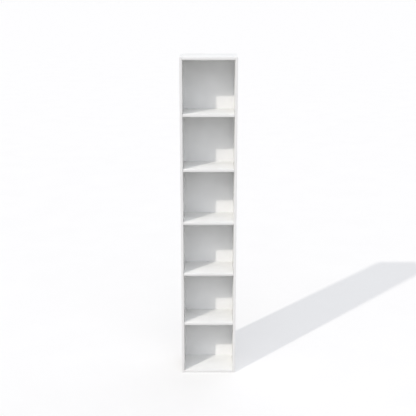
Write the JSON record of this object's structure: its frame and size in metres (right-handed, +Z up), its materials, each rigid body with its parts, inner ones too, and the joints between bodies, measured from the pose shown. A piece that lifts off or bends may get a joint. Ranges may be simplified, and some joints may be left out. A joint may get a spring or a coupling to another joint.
{
  "type": "closet organizer shelf",
  "caption": "Tall narrow open shelf tower in white board, with equal square compartments, loose shelves on pins and a thin back, for storing clothes in a closet.",
  "frame": {"origin": "middle of the footprint, on the floor", "axes": "+Z up along the height, +X to the right seen from the front, +Y from the open front to the back board"},
  "size_m": [0.36, 0.25, 2.122],
  "materials": {
    "white_board": "satin white melamine on chipboard, white edge band",
    "white_back": "matt white lacquer on thin fibreboard",
    "zinc_cam": "die-cast zinc",
    "steel_bolt": "zinc-plated steel",
    "beech_dowel": "bare beech",
    "nickel_pin": "nickel-plated steel"
  },
  "bodies": {
    "carcase": {"left_side_panel": "white_board", "right_side_panel": "white_board", "top_panel": "white_board", "fixed_middle_shelf": "white_board", "bottom_panel": "white_board", "back_board": "white_back", "cam_bolt_top_left_front": "steel_bolt", "cam_bolt_top_left_rear": "steel_bolt", "cam_bolt_top_right_front": "steel_bolt", "cam_bolt_top_right_rear": "steel_bolt", "cam_bolt_middle_left_front": "steel_bolt", "cam_bolt_middle_left_rear": "steel_bolt", "cam_bolt_middle_right_front": "steel_bolt", "cam_bolt_middle_right_rear": "steel_bolt", "cam_bolt_bottom_left_front": "steel_bolt", "cam_bolt_bottom_left_rear": "steel_bolt", "cam_bolt_bottom_right_front": "steel_bolt", "cam_bolt_bottom_right_rear": "steel_bolt", "dowel_top_left": "beech_dowel", "dowel_top_right": "beech_dowel", "dowel_middle_left": "beech_dowel", "dowel_middle_right": "beech_dowel", "dowel_bottom_left": "beech_dowel", "dowel_bottom_right": "beech_dowel", "shelf_pin_1_left_front": "nickel_pin", "shelf_pin_1_left_rear": "nickel_pin", "shelf_pin_1_right_front": "nickel_pin", "shelf_pin_1_right_rear": "nickel_pin", "shelf_pin_2_left_front": "nickel_pin", "shelf_pin_2_left_rear": "nickel_pin", "shelf_pin_2_right_front": "nickel_pin", "shelf_pin_2_right_rear": "nickel_pin", "shelf_pin_3_left_front": "nickel_pin", "shelf_pin_3_left_rear": "nickel_pin", "shelf_pin_3_right_front": "nickel_pin", "shelf_pin_3_right_rear": "nickel_pin", "shelf_pin_4_left_front": "nickel_pin", "shelf_pin_4_left_rear": "nickel_pin", "shelf_pin_4_right_front": "nickel_pin", "shelf_pin_4_right_rear": "nickel_pin"},
    "loose_shelf_1": {"adjustable_shelf_1": "white_board"},
    "loose_shelf_2": {"adjustable_shelf_2": "white_board"},
    "loose_shelf_3": {"adjustable_shelf_3": "white_board"},
    "loose_shelf_4": {"adjustable_shelf_4": "white_board"},
    "cam_top_left_front": {"cam_lock_top_left_front": "zinc_cam"},
    "cam_top_left_rear": {"cam_lock_top_left_rear": "zinc_cam"},
    "cam_top_right_front": {"cam_lock_top_right_front": "zinc_cam"},
    "cam_top_right_rear": {"cam_lock_top_right_rear": "zinc_cam"},
    "cam_middle_left_front": {"cam_lock_middle_left_front": "zinc_cam"},
    "cam_middle_left_rear": {"cam_lock_middle_left_rear": "zinc_cam"},
    "cam_middle_right_front": {"cam_lock_middle_right_front": "zinc_cam"},
    "cam_middle_right_rear": {"cam_lock_middle_right_rear": "zinc_cam"},
    "cam_bottom_left_front": {"cam_lock_bottom_left_front": "zinc_cam"},
    "cam_bottom_left_rear": {"cam_lock_bottom_left_rear": "zinc_cam"},
    "cam_bottom_right_front": {"cam_lock_bottom_right_front": "zinc_cam"},
    "cam_bottom_right_rear": {"cam_lock_bottom_right_rear": "zinc_cam"}
  },
  "joints": [
    {"name": "shelf_1_slide", "type": "slide", "parent": "carcase", "child": "loose_shelf_1", "axis": [0, -1, 0], "range_m": [0, 0.24]},
    {"name": "shelf_2_slide", "type": "slide", "parent": "carcase", "child": "loose_shelf_2", "axis": [0, -1, 0], "range_m": [0, 0.24]},
    {"name": "shelf_3_slide", "type": "slide", "parent": "carcase", "child": "loose_shelf_3", "axis": [0, -1, 0], "range_m": [0, 0.24]},
    {"name": "shelf_4_slide", "type": "slide", "parent": "carcase", "child": "loose_shelf_4", "axis": [0, -1, 0], "range_m": [0, 0.24]},
    {"name": "turn_cam_top_left_front", "type": "hinge", "parent": "carcase", "child": "cam_top_left_front", "pos_m": [-0.1397, -0.088, 2.114], "axis": [0, 0, -1], "range_deg": [0, 180]},
    {"name": "turn_cam_top_left_rear", "type": "hinge", "parent": "carcase", "child": "cam_top_left_rear", "pos_m": [-0.1397, 0.073, 2.114], "axis": [0, 0, -1], "range_deg": [0, 180]},
    {"name": "turn_cam_top_right_front", "type": "hinge", "parent": "carcase", "child": "cam_top_right_front", "pos_m": [0.1397, -0.088, 2.114], "axis": [0, 0, -1], "range_deg": [0, 180]},
    {"name": "turn_cam_top_right_rear", "type": "hinge", "parent": "carcase", "child": "cam_top_right_rear", "pos_m": [0.1397, 0.073, 2.114], "axis": [0, 0, -1], "range_deg": [0, 180]},
    {"name": "turn_cam_middle_left_front", "type": "hinge", "parent": "carcase", "child": "cam_middle_left_front", "pos_m": [-0.1397, -0.088, 1.061], "axis": [0, 0, -1], "range_deg": [0, 180]},
    {"name": "turn_cam_middle_left_rear", "type": "hinge", "parent": "carcase", "child": "cam_middle_left_rear", "pos_m": [-0.1397, 0.073, 1.061], "axis": [0, 0, -1], "range_deg": [0, 180]},
    {"name": "turn_cam_middle_right_front", "type": "hinge", "parent": "carcase", "child": "cam_middle_right_front", "pos_m": [0.1397, -0.088, 1.061], "axis": [0, 0, -1], "range_deg": [0, 180]},
    {"name": "turn_cam_middle_right_rear", "type": "hinge", "parent": "carcase", "child": "cam_middle_right_rear", "pos_m": [0.1397, 0.073, 1.061], "axis": [0, 0, -1], "range_deg": [0, 180]},
    {"name": "turn_cam_bottom_left_front", "type": "hinge", "parent": "carcase", "child": "cam_bottom_left_front", "pos_m": [-0.1397, -0.088, 0.008], "axis": [0, 0, -1], "range_deg": [0, 180]},
    {"name": "turn_cam_bottom_left_rear", "type": "hinge", "parent": "carcase", "child": "cam_bottom_left_rear", "pos_m": [-0.1397, 0.073, 0.008], "axis": [0, 0, -1], "range_deg": [0, 180]},
    {"name": "turn_cam_bottom_right_front", "type": "hinge", "parent": "carcase", "child": "cam_bottom_right_front", "pos_m": [0.1397, -0.088, 0.008], "axis": [0, 0, -1], "range_deg": [0, 180]},
    {"name": "turn_cam_bottom_right_rear", "type": "hinge", "parent": "carcase", "child": "cam_bottom_right_rear", "pos_m": [0.1397, 0.073, 0.008], "axis": [0, 0, -1], "range_deg": [0, 180]}
  ]
}
